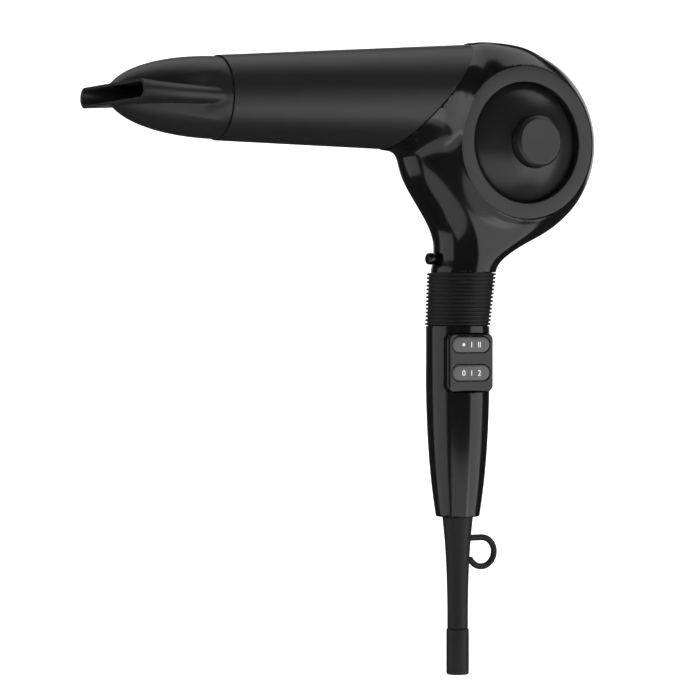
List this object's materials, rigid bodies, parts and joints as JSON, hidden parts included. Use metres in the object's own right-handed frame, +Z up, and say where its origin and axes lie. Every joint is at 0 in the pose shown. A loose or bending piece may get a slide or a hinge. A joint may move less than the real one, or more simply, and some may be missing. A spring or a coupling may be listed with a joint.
{
  "type": "hair dryer",
  "caption": "Handheld hair dryer with a round side fan drum, long tapered barrel, flat wide nozzle, ribbed grip sleeve, rocker switches and a hooked cord boot.",
  "frame": {"origin": "mouth of the cord bore at the bottom of the cord collar, on the handle's axis", "axes": "+Z up along the handle, -X towards the nozzle, -Y the side with the switches and the round disc"},
  "size_m": [0.3035, 0.0866, 0.3612],
  "materials": {
    "gloss_black": "high gloss",
    "matte_black": "fine matte",
    "satin_black": "satin",
    "button_grey": "satin",
    "black_rubber": "matte",
    "inner_plastic": "as moulded",
    "white_nylon": "as moulded",
    "mica": "flaky sheet",
    "heater_wire": "drawn wire",
    "steel": "bright",
    "zinc_screw": "zinc",
    "bronze": "sintered",
    "magnet": "sintered",
    "shield_steel": "rolled",
    "mesh_steel": "woven"
  },
  "bodies": {
    "body": {"housing_near": "gloss_black", "housing_far": "gloss_black", "housing_screws": "zinc_screw", "side_ring": "satin_black", "side_dome": "satin_black", "button_carrier": "inner_plastic", "button_switch": "inner_plastic", "button_spring": "steel", "motor_can": "steel", "motor_cap": "inner_plastic", "motor_magnets": "magnet", "front_bush": "bronze", "rear_bush": "bronze", "motor_bracket": "inner_plastic", "air_guide": "inner_plastic", "barrel": "matte_black", "outlet_grille": "inner_plastic", "heat_shield": "shield_steel", "mica_board_upright": "mica", "mica_board_level": "mica", "heater_coil_front": "heater_wire", "heater_coil_rear": "heater_wire", "thermostat": "inner_plastic", "thermal_fuse": "steel", "ribbed_sleeve": "black_rubber", "switch_panel": "gloss_black", "speed_switch": "inner_plastic", "heat_switch": "inner_plastic", "cold_shot_switch": "inner_plastic", "cold_shot_spring": "steel", "strain_relief_boot": "black_rubber", "cord_collar": "black_rubber", "cord_clamp": "inner_plastic", "terminal_block": "white_nylon", "switch_leads": "white_nylon"},
    "fan_rotor": {"impeller": "white_nylon", "motor_shaft": "steel", "armature": "steel"},
    "nozzle_slider": {"nozzle_ring": "steel"},
    "nozzle_body": {"nozzle": "matte_black"},
    "speed_button": {"speed_rocker": "button_grey"},
    "heat_button": {"heat_rocker": "button_grey"},
    "cold_shot": {"cold_shot_plunger": "gloss_black"},
    "disc_button": {"centre_button": "satin_black"},
    "intake": {"intake_cover": "satin_black", "filter_mesh": "mesh_steel"}
  },
  "joints": [
    {"name": "fan_spin", "type": "hinge", "parent": "body", "child": "fan_rotor", "pos_m": [0.0339, 0, 0.303], "axis": [0, 1, 0], "continuous": true},
    {"name": "nozzle_pull", "type": "slide", "parent": "body", "child": "nozzle_slider", "axis": [-1, 0, 0], "range_m": [0, 0.022]},
    {"name": "nozzle_turn", "type": "hinge", "parent": "nozzle_slider", "child": "nozzle_body", "pos_m": [-0.1523, 0, 0.3234], "axis": [1, 0, 0], "continuous": true},
    {"name": "speed_rock", "type": "hinge", "parent": "body", "child": "speed_button", "pos_m": [0, -0.0126, 0.188], "axis": [0, 0, 1], "range_deg": [-8, 8]},
    {"name": "heat_rock", "type": "hinge", "parent": "body", "child": "heat_button", "pos_m": [0, -0.0126, 0.172], "axis": [0, 0, 1], "range_deg": [-8, 8]},
    {"name": "cold_shot_press", "type": "slide", "parent": "body", "child": "cold_shot", "axis": [1, 0, 0], "range_m": [0, 0.002], "stiffness_N_per_m": 300, "springref_m": -0.001, "deforming": ["cold_shot_spring"]},
    {"name": "disc_button_press", "type": "slide", "parent": "body", "child": "disc_button", "axis": [0, 1, 0], "range_m": [0, 0.0025], "stiffness_N_per_m": 300, "springref_m": -0.001, "deforming": ["button_spring"]},
    {"name": "intake_cover_pull", "type": "slide", "parent": "body", "child": "intake", "axis": [0, 1, 0], "range_m": [0, 0.012]}
  ]
}
